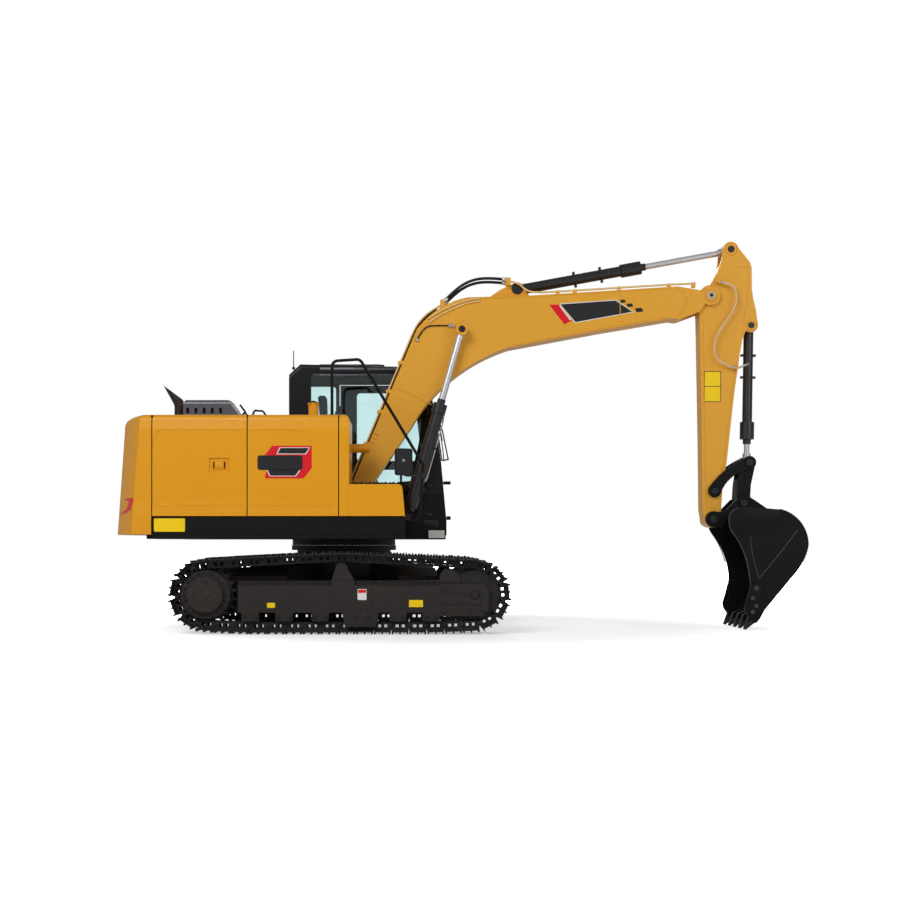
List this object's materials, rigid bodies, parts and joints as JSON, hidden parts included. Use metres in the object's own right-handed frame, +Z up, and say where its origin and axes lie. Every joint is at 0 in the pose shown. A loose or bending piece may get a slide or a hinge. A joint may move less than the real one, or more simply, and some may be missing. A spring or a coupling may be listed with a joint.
{
  "type": "crawler excavator",
  "caption": "Crawler excavator: tracked undercarriage, slewing house with cab, engine bay and counterweight, cranked boom, arm, linkage and toothed bucket with hydraulic cylinders.",
  "frame": {"origin": "on the ground, under the middle of the machine's overall length and width", "axes": "+X forward, along the boom and tracks; +Y to the operator's left; +Z up"},
  "size_m": [7.1071, 2.49, 4.0399],
  "materials": {
    "arm_yellow": "gloss paint",
    "bucket_black": "satin black paint",
    "cab_dark": "satin dark paint",
    "cylinder_black": "satin black paint",
    "dome_grey": "satin dark grey paint",
    "engine_grey": "plain grey",
    "exhaust_steel": "dark steel",
    "frame_black": "satin black paint",
    "hose_rubber": "matt rubber",
    "house_black": "satin black paint",
    "house_yellow": "gloss paint",
    "inside_plastic": "dark moulded plastic",
    "rod_chrome": "polished chrome",
    "seat_fabric": "dark woven fabric",
    "track_steel": "dark bare steel",
    "weight_yellow": "gloss paint on casting",
    "window_glass": "tinted glass"
  },
  "bodies": {
    "undercarriage": {"centre_frame": "frame_black", "slew_ring_lower": "frame_black", "track_frame_right": "frame_black", "track_frame_left": "frame_black", "track_right": "track_steel", "track_left": "track_steel", "final_drives": "frame_black", "front_idlers": "track_steel", "bottom_rollers": "track_steel", "carrier_rollers": "frame_black"},
    "house": {"slew_ring_upper": "frame_black", "deck_frame": "house_black", "side_skirts": "house_black", "counterweight": "weight_yellow", "engine_bay": "house_yellow", "engine_block": "engine_grey", "tank_housing": "house_yellow", "tool_box": "house_yellow", "tread_plate": "house_black", "exhaust_stack": "exhaust_steel", "fuel_filler": "house_yellow", "handrail": "house_black", "cab_shell": "cab_dark", "cab_glass": "window_glass", "operator_seat": "seat_fabric", "cab_controls": "inside_plastic", "mirror_right": "inside_plastic", "cab_brackets": "house_black"},
    "door_right": {"door_right": "house_yellow"},
    "door_left": {"door_left": "house_yellow"},
    "hood": {"hood": "house_yellow", "vent_dome": "dome_grey"},
    "cab_door": {"cab_door": "cab_dark", "cab_door_glass": "window_glass"},
    "boom": {"boom": "arm_yellow", "boom_hose_upper": "hose_rubber", "boom_hose_lower": "hose_rubber"},
    "boom_barrels": {"boom_cylinder_barrels": "cylinder_black"},
    "boom_rods": {"boom_cylinder_rods": "rod_chrome"},
    "arm": {"arm": "arm_yellow", "arm_hose": "hose_rubber"},
    "arm_barrel": {"arm_cylinder_barrel": "cylinder_black"},
    "arm_rod": {"arm_cylinder_rod": "rod_chrome"},
    "bucket_barrel": {"bucket_cylinder_barrel": "cylinder_black"},
    "bucket_rod": {"bucket_cylinder_rod": "rod_chrome"},
    "curved_links": {"curved_links": "bucket_black"},
    "bucket_link": {"bucket_link": "bucket_black"},
    "bucket": {"bucket": "bucket_black"}
  },
  "joints": [
    {"name": "slew", "type": "hinge", "parent": "undercarriage", "child": "house", "pos_m": [-1.224, 0, 0.868], "axis": [0, 0, 1], "continuous": true},
    {"name": "boom_lift", "type": "hinge", "parent": "house", "child": "boom", "pos_m": [-1.089, -0.1, 1.403], "axis": [0, -1, 0], "range_deg": [-65, 33]},
    {"name": "arm_swing", "type": "hinge", "parent": "boom", "child": "arm", "pos_m": [2.612, -0.1, 3.47], "axis": [0, 1, 0], "range_deg": [-84, 30]},
    {"name": "bucket_curl", "type": "hinge", "parent": "arm", "child": "bucket", "pos_m": [2.641, -0.1, 1.14], "axis": [0, 1, 0], "range_deg": [-8, 150]},
    {"name": "boom_barrel_tilt", "type": "hinge", "parent": "house", "child": "boom_barrels", "pos_m": [-0.545, -0.1, 1.159], "axis": [0, -1, 0], "range_deg": [-69.64, 36.36]},
    {"name": "boom_rod_stroke", "type": "slide", "parent": "boom_barrels", "child": "boom_rods", "axis": [0.2762, 0, 0.9611], "range_m": [-0.606, 0.3164]},
    {"name": "arm_barrel_tilt", "type": "hinge", "parent": "boom", "child": "arm_barrel", "pos_m": [0.598, -0.1, 3.552], "axis": [0, 1, 0], "range_deg": [-2.59, 0.97]},
    {"name": "arm_rod_stroke", "type": "slide", "parent": "arm_barrel", "child": "arm_rod", "axis": [0.9837, 0, 0.1799], "range_m": [-0.7291, 0.2728]},
    {"name": "bucket_barrel_tilt", "type": "hinge", "parent": "arm", "child": "bucket_barrel", "pos_m": [3.04, -0.1, 3.166], "axis": [0, 1, 0], "range_deg": [-0.32, 4.37]},
    {"name": "bucket_rod_stroke", "type": "slide", "parent": "bucket_barrel", "child": "bucket_rod", "axis": [-0.0153, 0, -0.9999], "range_m": [-0.0545, 0.7485]},
    {"name": "curved_link_swing", "type": "hinge", "parent": "arm", "child": "curved_links", "pos_m": [2.655, -0.1, 1.436], "axis": [0, 1, 0], "range_deg": [-7.83, 107.41]},
    {"name": "bucket_link_swing", "type": "hinge", "parent": "bucket", "child": "bucket_link", "pos_m": [2.956, -0.1, 1.308], "axis": [0, 1, 0], "range_deg": [-93.73, 6.83]},
    {"name": "cab_door_swing", "type": "hinge", "parent": "house", "child": "cab_door", "pos_m": [-1.324, 1.2123, 1.9], "axis": [0, 0, 1], "range_deg": [0, 150]},
    {"name": "door_right_swing", "type": "hinge", "parent": "house", "child": "door_right", "pos_m": [-3.035, -1.192, 1.6], "axis": [0, 0, -1], "range_deg": [0, 100]},
    {"name": "door_left_swing", "type": "hinge", "parent": "house", "child": "door_left", "pos_m": [-3.035, 1.192, 1.6], "axis": [0, 0, 1], "range_deg": [0, 100]},
    {"name": "hood_lift", "type": "hinge", "parent": "house", "child": "hood", "pos_m": [-2.154, 0, 2.148], "axis": [0, 1, 0], "range_deg": [0, 65]}
  ],
  "couplings": [
    {"joint": "boom_barrel_tilt", "follows": "boom_lift", "ratio": 1.04},
    {"joint": "boom_rod_stroke", "follows": "boom_lift", "m_per_rad": 0.51853},
    {"joint": "arm_barrel_tilt", "follows": "arm_swing", "ratio": 0.03},
    {"joint": "arm_rod_stroke", "follows": "arm_swing", "m_per_rad": 0.48415},
    {"joint": "bucket_barrel_tilt", "follows": "bucket_curl", "ratio": 0.0285},
    {"joint": "bucket_rod_stroke", "follows": "bucket_curl", "m_per_rad": 0.28},
    {"joint": "curved_link_swing", "follows": "bucket_curl", "ratio": 0.7013},
    {"joint": "bucket_link_swing", "follows": "bucket_curl", "ratio": -0.612}
  ]
}
